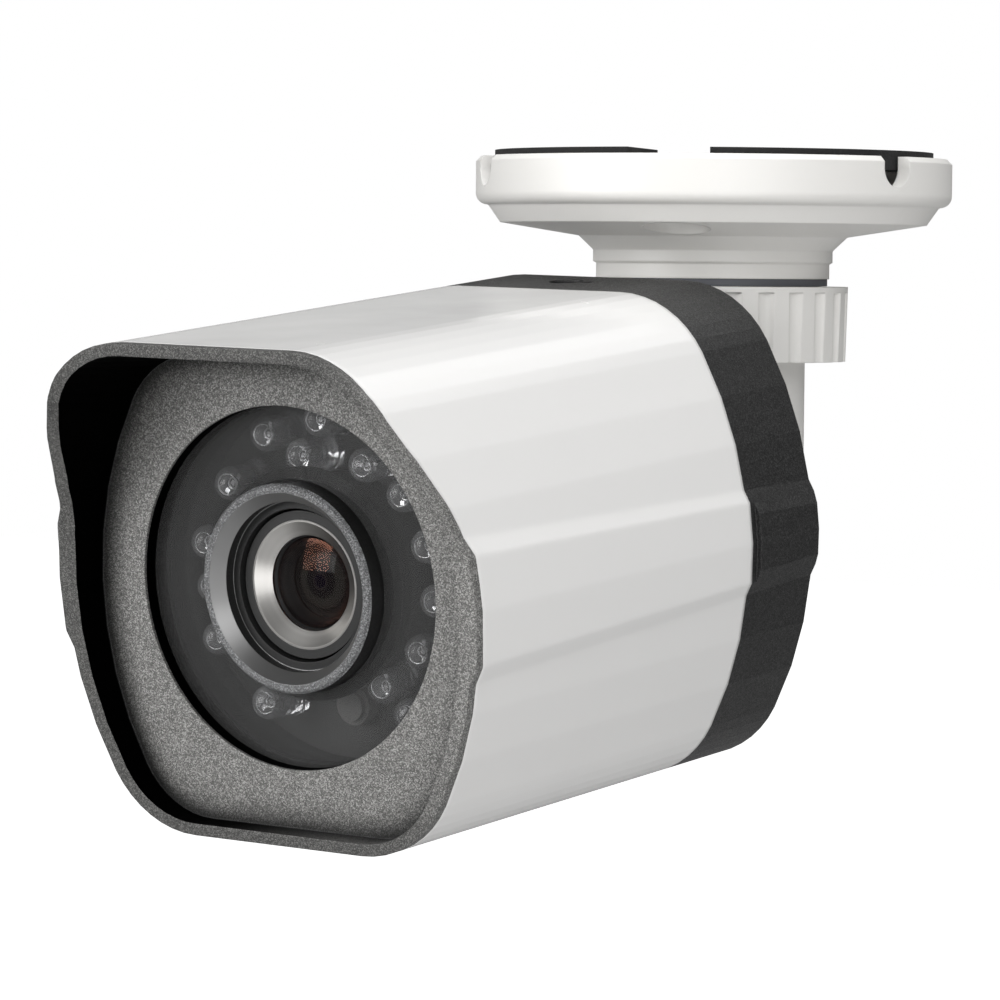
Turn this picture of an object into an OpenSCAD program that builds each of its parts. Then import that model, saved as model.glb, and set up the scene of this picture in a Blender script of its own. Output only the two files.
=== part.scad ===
// Bullet security camera on a three-axis ceiling bracket.
// Part frame: +Z up, the camera looks along -Y, origin at the centre of the base's rim, on
// the plane that meets the ceiling once the screws have squeezed the foam pad. Camera pieces are drawn in the camera's own frame (Y back along the barrel,
// origin at the middle of the bezel's face) and at_camera() hangs that frame on the hinge.

/* [Aim at rest] */
// Angle the nose points below level
rest_tilt = 5.5; // [-7:0.5:30]
// Turn of the camera about its own barrel
rest_roll = 1.25; // [-10:0.25:10]
// Turn of the base's screw pattern away from the camera's heading
base_turn = 21.5; // [0:0.5:60]

/* [Body section] */
// Width across the bulging sides, without the side bands
body_w = 73.2; // [70:0.2:80]
// Height between the flat top and bottom
body_h = 72.8; // [71:0.1:76]
// Radius of each bulging side
side_r = 57; // [54:0.5:80]
// Radius of the four long corners
corner_r = 16.5; // [15:0.1:18]
// Angle at which the whole section narrows towards the front
draft = 0.25; // [0:0.05:0.6]
// Half height of the raised side bands at the bezel
band_half = 9; // [6:0.25:12]
// How far the bands stand out of the sides
band_proud = 0.8; // [0.4:0.1:1.2]
// Width of the slope along each edge of a band
band_ramp = 1.5; // [1:0.1:2.5]
// Angle at which the bands narrow towards the rear
band_taper = 0.8; // [0:0.1:1.5]

/* [Shell] */
// Length of the shell behind the bezel's face
shell_len = 63.4; // [60:0.2:90]
// Wall of the shell
shell_t = 1.4; // [1:0.1:1.8]
// Radius of the four screw rails inside the shell
rail_r = 3.4; // [3:0.1:3.6]

/* [Bezel and hood] */
// Reach of the lip in front of the face at the bottom
lip_reach = 4.2; // [3:0.1:6]
// Angle at which the lip leans forward towards the top
lip_lean = 2.5; // [0:0.5:5]
// Extra reach of the hood over the lip
hood_rise = 9.9; // [4:0.1:20]
// Height above the lens axis at which the hood starts to swell
hood_low = 5; // [0:0.5:12]
// Height above the lens axis at which the hood is at full reach
hood_high = 33; // [26:0.5:34]
// Length of the lip that covers the shell's front edge
lip_len = 1.5; // [1:0.1:2.5]
// Thickness of the hood at its front edge
hood_edge_t = 1.8; // [1.7:0.1:2.4]
// Mean thickness of the hood at the face
hood_root_t = 2.6; // [2.4:0.1:3.2]
// How far the foot of the hood's hollow sits below centre
hood_root_drop = 0.9; // [0:0.1:1]
// Thickness of the bezel's face
face_t = 2.5; // [2:0.1:4]
// Length of the bezel's skirt inside the shell
skirt_len = 8; // [5:0.5:12]
// Thickness of the bezel's skirt
skirt_t = 1.2; // [0.8:0.1:1.6]

/* [Window and lights] */
// Diameter of the opening in the bezel
opening_d = 52; // [48:0.5:54]
// Thickness of the window
window_t = 2.2; // [1.5:0.1:3]
// Width of the ledge that the window seats on
window_seat = 1.6; // [1.2:0.1:2]
// Thickness of the window's gasket
gasket_t = 0.8; // [0.5:0.1:1.2]
// Distance from the bezel's face to the lamp board
led_board_y = 14; // [13.5:0.1:18]
// Diameter of one lamp
led_d = 5; // [4:0.1:5.2]
// Length of one lamp from its flange to the tip of its dome
led_len = 8.6; // [8:0.1:8.7]
// Thickness of every circuit board
board_t = 1.6; // [1:0.1:2]

/* [Lens] */
// Outer diameter of the tube round the lens
tube_d = 30; // [28:0.2:31]
// How far the tube stands in front of the bezel's face
tube_proud = 0.4; // [0:0.1:1]
// Bore of the tube's mouth
tube_bore_d = 24.4; // [23:0.2:25]
// Diameter of the lens barrel
barrel_d = 21.2; // [19:0.1:21.6]
// Distance from the bezel's face to the front of the lens barrel
barrel_y = 4; // [3:0.1:5]
// Outer diameter of the bright ring in the barrel's mouth
bright_ring_d = 18.6; // [17:0.1:20]
// Inner diameter of the bright ring
bright_ring_bore = 13.8; // [12.4:0.1:15]
// Diameter of the lens thread
thread_d = 12; // [11:0.5:13]
// Travel of the infrared filter across the sensor
filter_travel = 6.8; // [6.6:0.1:7.2]

/* [Rear cover] */
// Length of the rear cover
cover_len = 17.6; // [15:0.1:24]
// Wall of the rear cover
cover_t = 2.5; // [2:0.1:3]
// Chamfer round the rear edge of the cover
cover_chamfer = 0.8; // [0.4:0.1:1.5]
// How far the cover's own bands stand out of its sides
cover_band_proud = 1.6; // [0.8:0.1:1.8]
// Width of the cover's front strip, which stays level with the shell
cover_strip = 1.2; // [0.6:0.1:3]
// Diameter of the cable passage in the grommet
cable_d = 5.4; // [4:0.1:6]

/* [Bracket joints] */
// Distance from the rear cover's end to the tilt hinge
hinge_back = 28.3; // [25:0.1:59]
// Height of the base's rim above the tilt hinge
hinge_drop = 52.5; // [51.4:0.1:80]
// Diameter of the arm
arm_d = 29.6; // [28:0.1:30]
// Thickness of the knuckle's tongue
tongue_t = 12; // [10:0.5:13]
// Radius of the round end of the tongue
tongue_r = 12.4; // [11:0.1:12.6]
// Diameter of the hinge screw
hinge_screw_d = 4.9; // [4:0.1:5]
// Diameter of the knuckle's neck
neck_d = 19; // [17:0.5:20]
// Radial clearance where one piece turns in another
run_fit = 0.07; // [0.03:0.01:0.1]
// Clearance where one piece sits in another
seat_fit = 0.1; // [0.05:0.01:0.15]

/* [Lock rings] */
// Outer diameter of the ring that locks the pan
pan_ring_d = 43; // [40:0.2:46]
// Height of the pan ring
pan_ring_h = 11.8; // [11:0.1:14]
// Outer diameter of the ring that locks the roll
roll_ring_d = 29.6; // [29:0.1:30]
// Number of finger flutes round the pan ring
pan_flutes = 25; // [16:1:30]
// Angle of the pan ring's first flute
pan_flute_turn = 9.4; // [0:0.1:20]
// Number of finger flutes round the roll ring
roll_flutes = 18; // [12:1:22]
// Depth of the finger flutes
flute_depth = 0.8; // [0.4:0.1:1]

/* [Ceiling base] */
// Diameter of the base
base_d = 75.4; // [72:0.2:90]
// Height of the base's rim
rim_h = 7.6; // [6.5:0.1:8]
// Rounding of the rim's lower edge
rim_round = 1.8; // [0.8:0.1:2]
// Wall of the base
base_t = 2.4; // [2:0.1:2.6]
// How far the foam pad stands above the rim
pad_proud = 1; // [0.3:0.1:1.2]
// Thickness of the foam pad
pad_t = 3; // [2:0.1:4]
// Radius of the circle of ceiling screws
screw_ring_r = 27.8; // [27.5:0.1:28.2]
// Diameter of a ceiling screw's hole
screw_hole_d = 4.6; // [3.5:0.1:5.5]
// Diameter of the recess under a ceiling screw's head
screw_recess_d = 10.4; // [9:0.1:10.8]
// Width of a cable notch in the rim
notch_w = 6; // [3:0.1:7]
// Depth of a cable notch in the rim
notch_depth = 4.8; // [3.6:0.1:5.6]
// Diameter of the collar under the base
collar_d = 37; // [35.6:0.2:38]

/* [Hidden] */
$fn = 96;
eps = 0.01;
far = 200;

// --- body section ---
side_x = body_w / 2 - side_r;
corner_z = body_h / 2 - corner_r;
corner_x = side_x + sqrt(pow(side_r - corner_r, 2) - pow(corner_z, 2));
side_half = asin(corner_z / (side_r - corner_r));
band_x = side_x + sqrt(pow(side_r, 2) - pow(band_half, 2));
arc_steps = 8;
edge_steps = 20;

// --- stations along the barrel, measured from the bezel's face ---
hood_reach = lip_reach + body_h * tan(lip_lean) + hood_rise;
window_y = face_t;
gasket_y = window_y + window_t;
housing_y = gasket_y + gasket_t;
chassis_y = led_board_y + board_t;
chassis_t = 2;
rail_y = chassis_y + chassis_t;
sensor_board_y = 36;
main_board_y = 46;
sensor_board_w = 38;
main_board_w = 42;
main_board_h = 40;
socket_w = 16;
socket_len = 11;
socket_h = 12;
spigot_len = 3;
cover_end = shell_len + cover_len;
reach = cover_end + hinge_back;
boss_len = 5.8;
boss_end = cover_end + boss_len;

// --- sizes round the window ---
opening_r = opening_d / 2;
window_r = opening_r + window_seat;
collar_in_r = window_r + seat_fit;
bezel_collar_r = collar_in_r + 2.2;
housing_t = 0.9;
tube_r = tube_d / 2;
bevel_w = 1.3;
barrel_r = barrel_d / 2;

// --- screws through the camera ---
tie_r = 1.5;
tie_head_r = 2.75;
tie_head_h = 3;
rail_wall_gap = 0.4;
rail_reach = corner_r - shell_t - rail_r + rail_wall_gap;
rail_pos = [corner_x + rail_reach * cos(48), corner_z + rail_reach * sin(48)];
spacer_pos = [15.5, 15.5];
spacer_r = 2.5;
board_screw_r = 1.2;

// --- roll joint ---
joint_boss_r = 12.9;
roll_spigot_r = 8.9;
knuckle_flange_r = 12;
knuckle_flange_t = 2.5;
roll_ring_y = cover_end + 0.7;
roll_lip_t = 2.7;
face_gap = 0.1;

// --- tilt hinge ---
washer_t = 0.4;
washer_gap = 0.05;
ear_gap = tongue_t / 2 + washer_t + 2 * washer_gap;
ear_r = 14.2;
screw_head_r = 4.2;
screw_head_h = 4.5;
nut_flat = 8;
nut_t = 4;

// --- base and pan joint, heights from the rim's plane ---
ledge_r = base_d / 2 - 2.1;
step_r = base_d / 2 - 3.9;
slope_r = 21.3;
cone_r = 19;
collar_r = collar_d / 2;
step_z = -rim_h - 2.8;
slope_z = step_z - 2;
floor_z = step_z + base_t;
screw_boss_r = screw_recess_d / 2 + 0.9;
cone_z = slope_z - 2.2;
bead_z = cone_z - 1.8;
collar_z = bead_z - 2.6;
seal_t = 1.1;
pan_spigot_r = 16.8;
pan_spigot_len = 7;
pan_spigot_z = collar_z - pan_spigot_len;
pivot_r = 10;
pivot_len = 5;
core_r = 14;
pan_ring_top = collar_z - seal_t - face_gap;
pan_ring_z = pan_ring_top - pan_ring_h;
arm_flange_r = 16.4;
arm_flange_t = 2.6;
arm_r = arm_d / 2;

// --- helpers ---
// Points of an arc, from its first to its last step
function arc(centre, r, a0, a1, first = 0, last = arc_steps) =
    [for (i = [first:last]) let (a = a0 + (a1 - a0) * i / arc_steps)
        centre + r * [cos(a), sin(a)]];

// Rounded square with bulging sides, shrunk by inset all round
function body_outline(inset) = concat(
    arc([side_x, 0], side_r - inset, -side_half, side_half, 1, arc_steps - 1),
    arc([corner_x, corner_z], corner_r - inset, side_half, 90),
    arc([-corner_x, corner_z], corner_r - inset, 90, 180 - side_half),
    arc([-side_x, 0], side_r - inset, 180 - side_half, 180 + side_half, 1, arc_steps - 1),
    arc([-corner_x, -corner_z], corner_r - inset, 180 + side_half, 270),
    arc([corner_x, -corner_z], corner_r - inset, 270, 360 - side_half)
);

// Share of the hood's swell at a height above the lens axis
function swell(z) =
    (1 - cos(180 * min(1, max(0, (z - hood_low) / (hood_high - hood_low))))) / 2;

// Front edge of the hood and lip at a height above the lens axis
function front_edge(z) =
    -(lip_reach + (z + body_h / 2) * tan(lip_lean) + hood_rise * swell(z));

// Hangs the barrel's frame on the tilt hinge, before the camera's own roll
module at_knuckle() {
    translate([0, 0, -hinge_drop]) rotate([rest_tilt, 0, 0]) translate([0, -reach, 0])
        children();
}

module at_camera() {
    at_knuckle() rotate([0, rest_roll, 0]) children();
}

// Extrudes an X-Z outline from y0 to y1
module along_y(y0, y1) {
    translate([0, y1, 0]) rotate([90, 0, 0]) linear_extrude(y1 - y0) children();
}

// Cylinder or cone on the barrel's axis, or at a place [x, z] beside it
module rod_y(y0, y1, r0, r1 = -1, at = [0, 0]) {
    translate([at[0], y0, at[1]]) rotate([-90, 0, 0])
        cylinder(h = y1 - y0, r1 = r0, r2 = r1 < 0 ? r0 : r1);
}

// Outline of the section at a station along the barrel
function section_at(y, inset) =
    [for (p = body_outline(inset + (shell_len - y) * tan(draft))) [p[0], y, p[1]]];

// Solid of body section that narrows by the draft from y1 to y0
module section(y0, y1, inset = 0) {
    front = section_at(y0, inset);
    n = len(front);
    polyhedron(
        points = concat(front, section_at(y1, inset)),
        faces = concat(
            [[for (i = [n - 1:-1:0]) i], [for (i = [0:n - 1]) n + i]],
            [for (i = [0:n - 1]) let (j = (i + 1) % n) [i, j, n + j, n + i]]
        )
    );
}

// Ring of body section between two insets
module section_ring(y0, y1, inset, wall) {
    difference() {
        section(y0, y1, inset);
        section(y0 - eps, y1 + eps, inset + wall);
    }
}

// Everything behind the hood's S-shaped front edge, moved back by shift
module behind_edge(shift) {
    z0 = -body_h / 2 - 2;
    z_step = (body_h + 4) / edge_steps;
    rotate([90, 0, 90]) translate([0, 0, -body_w]) linear_extrude(2 * body_w)
        polygon(concat(
            [for (i = [0:edge_steps]) [front_edge(z0 + z_step * i) + shift, z0 + z_step * i]],
            [[far, body_h], [far, -body_h]]));
}

// Body section with its two raised side bands, which narrow towards the rear
module banded_section(y0, y1, proud = band_proud) {
    section(y0, y1);
    for (side = [0, 1]) mirror([side, 0, 0]) intersection() {
        section(y0, y1, -proud);
        translate([band_x - 3, y0, -body_h / 2]) cube([body_w, y1 - y0, body_h]);
        below_band_edge();
        mirror([0, 0, 1]) below_band_edge();
    }
}

// Everything under the sloping upper edge of a band
module below_band_edge() {
    translate([band_x, 0, band_half]) rotate([-band_taper, 0, 0])
        rotate([0, atan(band_ramp / band_proud), 0])
            translate([-far, -far, -2 * far]) cube(2 * far);
}

module rails() {
    for (sx = [-1, 1], sz = [-1, 1]) translate([sx * rail_pos[0], 0, sz * rail_pos[1]])
        children();
}

module spacers_at() {
    for (sx = [-1, 1], sz = [-1, 1]) translate([sx * spacer_pos[0], 0, sz * spacer_pos[1]])
        children();
}

module round_the_base(turn = 0) {
    for (i = [0:2]) rotate([0, 0, base_turn + turn + i * 120]) children();
}

// Finger flutes cut into a ring that stands on z = 0; they stop short of its top edge
module flutes(ring_r, h, count, stop) {
    flute_r = PI * ring_r / count * 0.62;
    for (i = [0:count - 1]) rotate([0, 0, i * 360 / count])
        translate([ring_r + flute_r - flute_depth, 0, -eps]) cylinder(h = h - stop, r = flute_r, $fn = 32);
}

// --- ceiling base ---
module base_plate() color("#dedcd8") {
    edge = 0.8;
    difference() {
        union() {
            rotate_extrude() polygon([
                [pivot_r, pan_spigot_z + pivot_len], [core_r, pan_spigot_z + pivot_len + 1],
                [core_r, cone_z + base_t], [slope_r - 1, slope_z + base_t],
                [step_r - base_t, floor_z], [base_d / 2 - base_t, floor_z + 1.5],
                [base_d / 2 - base_t, 0], [base_d / 2 - edge, 0], [base_d / 2, -edge],
                each arc([base_d / 2 - rim_round, rim_round - rim_h], rim_round, 0, -90),
                [ledge_r, -rim_h - 0.2], [step_r, step_z], [slope_r, slope_z],
                [cone_r, cone_z], [cone_r, bead_z], [collar_r, bead_z - 0.3],
                [collar_r, collar_z], [pan_spigot_r, collar_z], [pan_spigot_r, pan_spigot_z],
                [pivot_r, pan_spigot_z]
            ]);
            round_the_base() translate([0, -screw_ring_r, step_z + 0.4])
                cylinder(h = -step_z - 0.4, r = screw_boss_r);
            round_the_base(30) for (i = [0:1]) rotate([0, 0, i * 60]) base_rib();
        }
        round_the_base() translate([0, -screw_ring_r, slope_z - 2]) {
            cylinder(h = far, r = screw_hole_d / 2);
            cylinder(h = 4.9, r = screw_recess_d / 2);
        }
        round_the_base(60) cable_notch();
    }
}

// U-shaped notch through the rim
module cable_notch() {
    translate([0, -base_d / 2 + base_t + 1, notch_w / 2 - notch_depth])
        rotate([90, 0, 0]) linear_extrude(base_t + 2) {
            circle(d = notch_w);
            translate([-notch_w / 2, 0]) square([notch_w, notch_depth]);
        }
}

// Rib from the hub to the rim, sunk a little into the floor
module base_rib() {
    rib_t = 1.6;
    rib_top = pad_proud - pad_t;
    rib_end = base_d / 2 - base_t / 2;
    rotate([90, 0, -90]) translate([0, 0, -rib_t / 2]) linear_extrude(rib_t) polygon([
        [core_r + 1, rib_top], [core_r + 1, cone_z + base_t],
        [slope_r, slope_z + base_t - 0.8], [step_r - base_t, floor_z - 0.8],
        [rib_end, floor_z + 1.2], [rib_end, rib_top]
    ]);
}

module base_pad() color("#161616") {
    pad_r = base_d / 2 - base_t - 0.6;
    cut_r = screw_boss_r + 0.3;
    difference() {
        translate([0, 0, pad_proud - pad_t]) cylinder(h = pad_t, r = pad_r);
        round_the_base() translate([0, -screw_ring_r, -pad_t]) {
            cylinder(h = pad_t + 2, r = cut_r);
            translate([-cut_r, -base_d / 2, 0]) cube([2 * cut_r, base_d / 2, pad_t + 2]);
        }
        translate([0, 0, -pad_t]) {
            cylinder(h = pad_t + 2, r = core_r);
            // way out for the cable, past one screw
            rotate([0, 0, base_turn]) translate([-cut_r, -base_d / 2, 0])
                cube([2 * cut_r, base_d / 2, pad_t + 2]);
        }
    }
}

module collar_seal() color("#5c5c5c") {
    translate([0, 0, collar_z - seal_t]) difference() {
        cylinder(h = seal_t, r = collar_r - 0.3);
        translate([0, 0, -1]) cylinder(h = seal_t + 2, r = pan_spigot_r + run_fit);
    }
}

// --- pan joint ---
module pan_lock_ring() color("#d9d7d3") {
    lip_top = pan_spigot_z - face_gap - arm_flange_t - face_gap;
    translate([0, 0, pan_ring_z]) difference() {
        cylinder(h = pan_ring_h, r1 = pan_ring_d / 2 - 0.3, r2 = pan_ring_d / 2);
        translate([0, 0, lip_top - pan_ring_z]) cylinder(h = far, r = pan_spigot_r + run_fit);
        translate([0, 0, -1]) cylinder(h = far, r = arm_r + run_fit);
        rotate([0, 0, pan_flute_turn]) flutes(pan_ring_d / 2, pan_ring_h, pan_flutes, 0.9);
    }
}

module swivel_arm() color("#dedcd8") {
    flange_top = pan_spigot_z - face_gap;
    flange_z = flange_top - arm_flange_t;
    slot_r = tongue_r + 0.8;
    difference() {
        union() {
            translate([0, 0, flange_z]) cylinder(h = arm_flange_t, r = arm_flange_r);
            translate([0, 0, flange_top - eps]) cylinder(h = pivot_len, r = pivot_r - run_fit);
            intersection() {
                translate([0, 0, -hinge_drop - ear_r])
                    cylinder(h = flange_z + hinge_drop + ear_r + eps, r = arm_r);
                union() {
                    translate([-arm_d, -arm_d, -hinge_drop]) cube([2 * arm_d, 2 * arm_d, far]);
                    at_hinge() translate([0, 0, -arm_d]) cylinder(h = 2 * arm_d, r = ear_r);
                }
            }
        }
        translate([-ear_gap, -arm_d, -hinge_drop - far + slot_r])
            cube([2 * ear_gap, 2 * arm_d, far]);
        translate([0, 0, -hinge_drop + slot_r + 3.5]) cylinder(h = far, r = pivot_r - 2.5);
        at_hinge() {
            translate([0, 0, -arm_d]) cylinder(h = 2 * arm_d, r = hinge_screw_d / 2 + run_fit);
            translate([0, 0, arm_r - screw_head_h - 0.6])
                cylinder(h = arm_r, r = screw_head_r + 0.3);
            translate([0, 0, -arm_r - nut_t]) rotate([0, 0, 30])
                cylinder(h = 2 * nut_t + 0.6, r = (nut_flat + 0.2) / sqrt(3), $fn = 6);
        }
    }
}

// Turns a Z axis onto the hinge's X axis
module at_hinge() {
    translate([0, 0, -hinge_drop]) rotate([0, 90, 0]) children();
}

module tilt_screw() color("#8d8f92") at_hinge() {
    head_z = arm_r - screw_head_h - 0.5;
    difference() {
        union() {
            translate([0, 0, head_z]) cylinder(h = screw_head_h, r = screw_head_r);
            translate([0, 0, -arm_r + 0.4]) cylinder(h = head_z + arm_r, r = hinge_screw_d / 2);
        }
        translate([0, 0, head_z + 1.6]) cylinder(h = far, r = 4 / sqrt(3), $fn = 6);
    }
}

module tilt_nut() color("#8d8f92") at_hinge() {
    translate([0, 0, -arm_r + 0.55]) difference() {
        rotate([0, 0, 30]) cylinder(h = nut_t, r = nut_flat / sqrt(3), $fn = 6);
        translate([0, 0, -1]) cylinder(h = nut_t + 2, r = hinge_screw_d / 2 + run_fit);
    }
}

module tilt_washers() color("#efefef") at_hinge() {
    for (side = [0, 1]) mirror([0, 0, side]) translate([0, 0, tongue_t / 2 + washer_gap])
        difference() {
            cylinder(h = washer_t, r = 6.5);
            translate([0, 0, -1]) cylinder(h = 2, r = hinge_screw_d / 2 + run_fit);
        }
}

// Tongue, neck and round flange between the tilt hinge and the camera
module tilt_knuckle() color("#dedcd8") at_knuckle() {
    neck_r = neck_d / 2;
    flange_y = boss_end + face_gap;
    neck_end = flange_y + knuckle_flange_t + roll_lip_t + 3 * face_gap;
    difference() {
        union() {
            translate([-tongue_t / 2, reach, 0]) rotate([0, 90, 0])
                cylinder(h = tongue_t, r = tongue_r);
            translate([-tongue_t / 2, neck_end - eps, -neck_r])
                cube([tongue_t, reach - neck_end, neck_d]);
            rod_y(flange_y, neck_end, neck_r);
            rod_y(flange_y, flange_y + knuckle_flange_t, knuckle_flange_r);
            rod_y(flange_y - boss_len + 2, flange_y + eps, roll_spigot_r);
        }
        translate([-far / 2, reach, 0]) rotate([0, 90, 0])
            cylinder(h = far, r = hinge_screw_d / 2 + run_fit);
    }
}

module roll_lock_ring() color("#d9d7d3") at_knuckle() {
    lip_y = boss_end + 2 * face_gap + knuckle_flange_t;
    ring_h = lip_y + roll_lip_t - roll_ring_y;
    difference() {
        translate([0, roll_ring_y, 0]) rotate([-90, 0, 0]) difference() {
            cylinder(h = ring_h, r = roll_ring_d / 2);
            flutes(roll_ring_d / 2, ring_h, roll_flutes, 0.8);
        }
        rod_y(roll_ring_y - 1, lip_y, joint_boss_r + run_fit);
        rod_y(roll_ring_y, far, neck_d / 2 + run_fit);
    }
}

// --- rear cover ---
module rear_cover() color("#2b2b2d") at_camera() {
    post_r = 4;
    back_y = cover_end - cover_t;
    difference() {
        union() {
            difference() {
                intersection() {
                    union() {
                        banded_section(shell_len, cover_end);
                        banded_section(shell_len + cover_strip, cover_end, cover_band_proud);
                    }
                    hull() {
                        section(shell_len - 1, cover_end - cover_chamfer, -cover_band_proud - 0.2);
                        section(cover_end - 0.1, cover_end, cover_chamfer - cover_band_proud);
                    }
                }
                section(shell_len - 1, back_y, cover_t);
            }
            section_ring(shell_len - spigot_len, shell_len + eps, shell_t + seat_fit, 1.8);
            section_ring(shell_len - eps, shell_len + 2, shell_t + seat_fit, 1.8);
            rails() rod_y(shell_len, back_y + eps, post_r);
            rod_y(cover_end - eps, boss_end, joint_boss_r);
            translate([sunshield_at[0], sunshield_at[1], body_h / 2 - cover_t - 4])
                cylinder(h = 5, r = 3.6);
        }
        // groove for the seal round the spigot
        section_ring(shell_len - 2.2, shell_len - 1, shell_t - 1, 1.9);
        rod_y(boss_end - 4, boss_end + 1, roll_spigot_r + run_fit);
        rails() {
            rod_y(shell_len - 4, far, tie_r + seat_fit);
            rod_y(cover_end - tie_head_h - 0.4, far, tie_head_r + seat_fit);
        }
        rod_y(back_y - 1, far, grommet_neck_r, at = grommet_at);
        sunshield_recess();
    }
}

// Recess in the cover's top for the sunshield screw, with its locating dimple
sunshield_at = [-2, shell_len + 10.4];
sunshield_recess_r = 2.75;
sunshield_screw_r = 1.5;
module sunshield_recess() {
    translate([sunshield_at[0], sunshield_at[1], body_h / 2 - 1.5])
        cylinder(h = 3, r = sunshield_recess_r);
    translate([sunshield_at[0], sunshield_at[1], body_h / 2 - 7.5])
        cylinder(h = 8, r = sunshield_screw_r + seat_fit);
    translate([sunshield_at[0] + 3.9, sunshield_at[1], body_h / 2 - 0.8])
        cylinder(h = 3, r = 1.1);
}

module sunshield_screw() color("#3a3a3c") at_camera() {
    translate([sunshield_at[0], sunshield_at[1], body_h / 2 - 1.5]) difference() {
        union() {
            cylinder(h = 1.1, r = sunshield_recess_r - 0.25);
            translate([0, 0, -5]) cylinder(h = 5 + eps, r = sunshield_screw_r);
        }
        translate([0, 0, 0.4]) cylinder(h = 2, r = 0.9, $fn = 6);
    }
}

module cover_seal() color("#1a1a1a") at_camera() {
    section_ring(shell_len - 2.15, shell_len - 1.05, shell_t + 0.03, 0.82);
}

module tie_screws() color("#8d8f92") at_camera() {
    head_y = cover_end - tie_head_h - 0.4;
    rails() difference() {
        union() {
            rod_y(head_y, head_y + tie_head_h, tie_head_r);
            rod_y(face_t + 3, head_y + eps, tie_r);
        }
        translate([0, head_y + 1.2, 0]) rotate([-90, 0, 0])
            cylinder(h = far, r = 2.5 / sqrt(3), $fn = 6);
    }
}

grommet_at = [0, -24.5];
grommet_neck_r = 4.6;
module cable_grommet() color("#1b1b1b") at_camera() {
    back_y = cover_end - cover_t;
    difference() {
        union() {
            rod_y(back_y - 1.4, back_y, grommet_neck_r + 1.2, at = grommet_at);
            rod_y(back_y - 1.4, cover_end + 1, grommet_neck_r - 0.03, at = grommet_at);
            rod_y(cover_end, cover_end + 2.4, grommet_neck_r + 1.4, grommet_neck_r + 0.6,
                at = grommet_at);
            rod_y(cover_end + 2.4 - eps, cover_end + 4, grommet_neck_r - 0.4,
                at = grommet_at);
        }
        rod_y(back_y - 3, far, cable_d / 2, at = grommet_at);
    }
}

// --- shell ---
module main_shell() color("#ececea") at_camera() {
    rail_end = shell_len - spigot_len - 0.2;
    difference() {
        union() {
            difference() {
                intersection() {
                    banded_section(-hood_reach, shell_len);
                    behind_edge(lip_len);
                }
                section(-far / 4, far / 2, shell_t);
            }
            intersection() {
                rails() rod_y(rail_y, rail_end, rail_r);
                section(rail_y - 1, rail_end + 1, shell_t / 2);
            }
        }
        rails() rod_y(rail_y - 1, rail_end + 1, tie_r + seat_fit);
    }
}

// --- bezel with its hood, the moulded front of the camera ---
module front_bezel() color("#57585a") at_camera() {
    inner = shell_t + seat_fit;
    difference() {
        union() {
            intersection() {
                difference() {
                    banded_section(-hood_reach - 1, lip_len);
                    behind_edge(lip_len - 0.02);
                }
                behind_edge(0);
            }
            intersection() {
                section(-hood_reach - 1, face_t, inner);
                behind_edge(0.5);
            }
            section_ring(face_t - eps, skirt_len, inner, skirt_t);
            rod_y(face_t - eps, led_board_y, bezel_collar_r);
            bezel_bosses();
        }
        hood_hollow();
        rod_y(-1, far, opening_r);
        rod_y(-0.5, 0.5, opening_r + 0.5, opening_r - 0.5);
        rod_y(window_y, far, collar_in_r);
        rails() rod_y(face_t + 1, far, tie_r + seat_fit);
    }
}

// Corner bosses that take the tie screws and stand on the chassis plate
module bezel_bosses() {
    boss_r = rail_r;
    intersection() {
        rails() rod_y(face_t - eps, chassis_y, boss_r);
        section(0, chassis_y + 1, shell_t + seat_fit);
    }
}

// Hollow in front of the face; its walls lean in from the edge to the foot
module hood_hollow() {
    hull() {
        section(-hood_reach - 2, -hood_reach, hood_edge_t);
        translate([0, 0, -hood_root_drop]) section(-0.02, 0, hood_root_t);
    }
}

// --- window ---
module window() color("#3c3e42", 0.35) at_camera() {
    difference() {
        rod_y(window_y, window_y + window_t, window_r);
        rod_y(0, far, tube_r + 0.3);
    }
}

module window_gasket() color("#141414") at_camera() {
    difference() {
        rod_y(gasket_y, gasket_y + gasket_t, window_r);
        rod_y(0, far, window_r - 2);
    }
}

// Dark ring that holds the gasket and walls in the lamps
module lamp_housing() color("#202022") at_camera() {
    difference() {
        rod_y(housing_y, led_board_y, window_r);
        rod_y(0, far, window_r - housing_t);
    }
}

// --- lamp board ---
lamp_hole_r = tube_r + 0.2;
module lamp_board() color("#1d2420") at_camera() {
    difference() {
        rod_y(led_board_y, chassis_y, bezel_collar_r);
        rod_y(0, far, lamp_hole_r);
    }
}

// Place of each lamp on the board: [angle from the right, share of the way out from the tube]
lamp_places = [
    [356, 0.458], [18, 0.392], [41, 0.392], [63, 0.225], [88, 0.892], [98, 0.025],
    [113, 0.758], [140, 0.425], [168, 0.492], [186, 0.292], [207, 0.558], [241, 0.525],
    [310, 0.975], [307, 0.017], [333, 0.292]
];
lamp_flange = 0.35;
lamp_in_r = tube_r + led_d / 2 + lamp_flange;
lamp_out_r = window_r - housing_t - led_d / 2 - lamp_flange;
module ir_lamps() color("#c8ccd2", 0.6) at_camera() {
    lamp_r = led_d / 2;
    tip_y = led_board_y - led_len;
    for (p = lamp_places) let (r = lamp_in_r + p[1] * (lamp_out_r - lamp_in_r))
        translate([r * cos(p[0]), tip_y, r * sin(p[0])])
        rotate([-90, 0, 0]) rotate_extrude($fn = 32) difference() {
            union() {
                translate([0, lamp_r]) circle(r = lamp_r, $fn = 32);
                translate([0, lamp_r]) square([lamp_r, led_len - lamp_r]);
                translate([0, led_len - 1]) square([lamp_r + lamp_flange, 1]);
            }
            translate([-2 * led_len, -1]) square([2 * led_len, 2 * led_len]);
        }
}

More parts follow.
